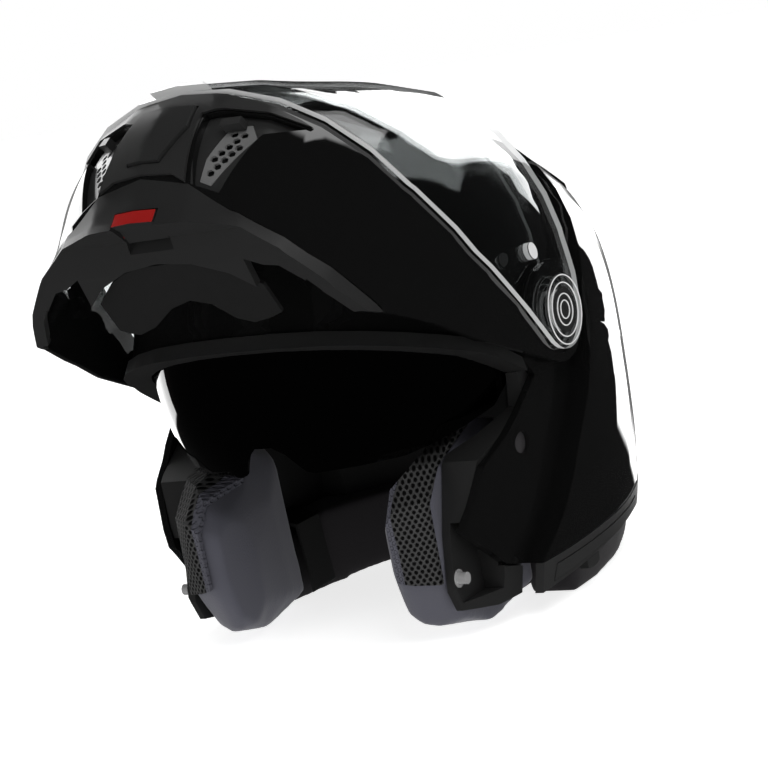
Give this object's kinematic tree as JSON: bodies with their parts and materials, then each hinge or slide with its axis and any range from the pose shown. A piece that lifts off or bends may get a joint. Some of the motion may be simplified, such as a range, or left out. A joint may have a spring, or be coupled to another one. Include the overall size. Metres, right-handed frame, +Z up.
{
  "type": "modular motorcycle helmet",
  "caption": "Modular motorcycle helmet with a chin bar that turns up over the shell, a clear visor that rides on it, an inner sun visor, vents, padded lining and a chin strap.",
  "frame": {"origin": "middle of the bounding box, on the table the helmet rests on", "axes": "+X towards the wearer's left, -Y the way the wearer faces, +Z up"},
  "size_m": [0.2468, 0.3328, 0.2948],
  "materials": {
    "outer_shell": "gloss",
    "lower_trim": "matte",
    "trim_inserts": "satin",
    "rear_spoiler": "gloss",
    "top_vent_base": "satin",
    "top_vent_slider": "satin",
    "eps_liner": "foam",
    "crown_pad": "knitted",
    "neck_roll": "knitted",
    "cheek_pad_left": "knitted",
    "cheek_pad_right": "knitted",
    "cheek_mesh_left": "spacer mesh",
    "cheek_mesh_right": "spacer mesh",
    "side_frame_left": "matte",
    "side_frame_right": "matte",
    "brow_gasket": "matte",
    "pivot_plates": "satin",
    "pivot_pins": "turned",
    "striker_pins": "polished",
    "side_plugs": "satin",
    "strap_left": "webbing",
    "strap_right": "webbing",
    "strap_rivets": "satin",
    "d_rings": "satin",
    "sun_visor_pivots": "satin",
    "sun_visor": "dark smoke",
    "sun_visor_slider": "matte",
    "chin_bar_shell": "gloss",
    "chin_arm_plates": "satin",
    "front_mask": "satin",
    "chin_lower_trim": "matte",
    "chin_eps": "foam",
    "chin_curtain": "knitted",
    "vent_bays": "satin",
    "side_grilles": "metallic paint",
    "visor_bosses": "gloss",
    "hook_mounts": "matte",
    "latch_hooks": "satin",
    "release_lever": "satin",
    "chin_vent_flap": "satin",
    "vent_slider_left": "satin",
    "vent_slider_right": "satin",
    "visor_shell": "clear",
    "anti_fog_insert": "clear",
    "anti_fog_pins": "satin"
  },
  "bodies": {
    "helmet": {"outer_shell": "outer_shell", "lower_trim": "lower_trim", "trim_inserts": "trim_inserts", "rear_spoiler": "rear_spoiler", "top_vent_base": "top_vent_base", "eps_liner": "eps_liner", "crown_pad": "crown_pad", "neck_roll": "neck_roll", "cheek_pad_left": "cheek_pad_left", "cheek_pad_right": "cheek_pad_right", "cheek_mesh_left": "cheek_mesh_left", "cheek_mesh_right": "cheek_mesh_right", "side_frame_left": "side_frame_left", "side_frame_right": "side_frame_right", "brow_gasket": "brow_gasket", "pivot_plates": "pivot_plates", "pivot_pins": "pivot_pins", "striker_pins": "striker_pins", "side_plugs": "side_plugs", "strap_left": "strap_left", "strap_right": "strap_right", "strap_rivets": "strap_rivets", "d_rings": "d_rings", "sun_visor_pivots": "sun_visor_pivots"},
    "chin_bar": {"chin_bar_shell": "chin_bar_shell", "chin_arm_plates": "chin_arm_plates", "front_mask": "front_mask", "chin_lower_trim": "chin_lower_trim", "chin_eps": "chin_eps", "chin_curtain": "chin_curtain", "vent_bays": "vent_bays", "side_grilles": "side_grilles", "visor_bosses": "visor_bosses", "hook_mounts": "hook_mounts"},
    "visor": {"visor_shell": "visor_shell", "anti_fog_insert": "anti_fog_insert", "anti_fog_pins": "anti_fog_pins"},
    "release_lever": {"release_lever": "release_lever"},
    "latch_hooks": {"latch_hooks": "latch_hooks"},
    "chin_vent_flap": {"chin_vent_flap": "chin_vent_flap"},
    "vent_slider_left": {"vent_slider_left": "vent_slider_left"},
    "vent_slider_right": {"vent_slider_right": "vent_slider_right"},
    "sun_visor": {"sun_visor": "sun_visor"},
    "sun_visor_slider": {"sun_visor_slider": "sun_visor_slider"},
    "top_vent_slider": {"top_vent_slider": "top_vent_slider"}
  },
  "joints": [
    {"name": "chin_bar_hinge", "type": "hinge", "parent": "helmet", "child": "chin_bar", "pos_m": [0, 0.0058, 0.147], "axis": [1, 0, 0], "range_deg": [0, 78]},
    {"name": "visor_hinge", "type": "hinge", "parent": "chin_bar", "child": "visor", "pos_m": [0, 0.0058, 0.147], "axis": [1, 0, 0], "range_deg": [-20, 0]},
    {"name": "release_lever_hinge", "type": "hinge", "parent": "chin_bar", "child": "release_lever", "pos_m": [0, -0.1553, 0.2309], "axis": [1, 0, 0], "range_deg": [0, 18]},
    {"name": "latch_hook_hinge", "type": "hinge", "parent": "chin_bar", "child": "latch_hooks", "pos_m": [0, -0.1042, 0.219], "axis": [1, 0, 0], "range_deg": [0, 6], "stiffness_Nm_per_rad": 0.6},
    {"name": "chin_vent_hinge", "type": "hinge", "parent": "chin_bar", "child": "chin_vent_flap", "pos_m": [0, -0.14329, 0.2612], "axis": [1, 0, 0], "range_deg": [-5, 0]},
    {"name": "vent_slider_left_slide", "type": "slide", "parent": "chin_bar", "child": "vent_slider_left", "axis": [0, -0.7953, -0.6062], "range_m": [0, 0.0045]},
    {"name": "vent_slider_right_slide", "type": "slide", "parent": "chin_bar", "child": "vent_slider_right", "axis": [0, -0.7953, -0.6062], "range_m": [0, 0.0045]},
    {"name": "sun_visor_hinge", "type": "hinge", "parent": "helmet", "child": "sun_visor", "pos_m": [0, 0.0058, 0.147], "axis": [1, 0, 0], "range_deg": [-42, 0]},
    {"name": "sun_visor_slide", "type": "slide", "parent": "helmet", "child": "sun_visor_slider", "axis": [0, 0.9959, 0.0905], "range_m": [0, 0.018]},
    {"name": "top_vent_slide", "type": "hinge", "parent": "helmet", "child": "top_vent_slider", "pos_m": [0, 0.0058, 0.147], "axis": [1, 0, 0], "range_deg": [-2.6, 0]}
  ],
  "couplings": [
    {"joint": "release_lever_hinge", "follows": "latch_hook_hinge", "ratio": 2.5},
    {"joint": "sun_visor_slide", "follows": "sun_visor_hinge", "m_per_rad": -0.0242}
  ]
}
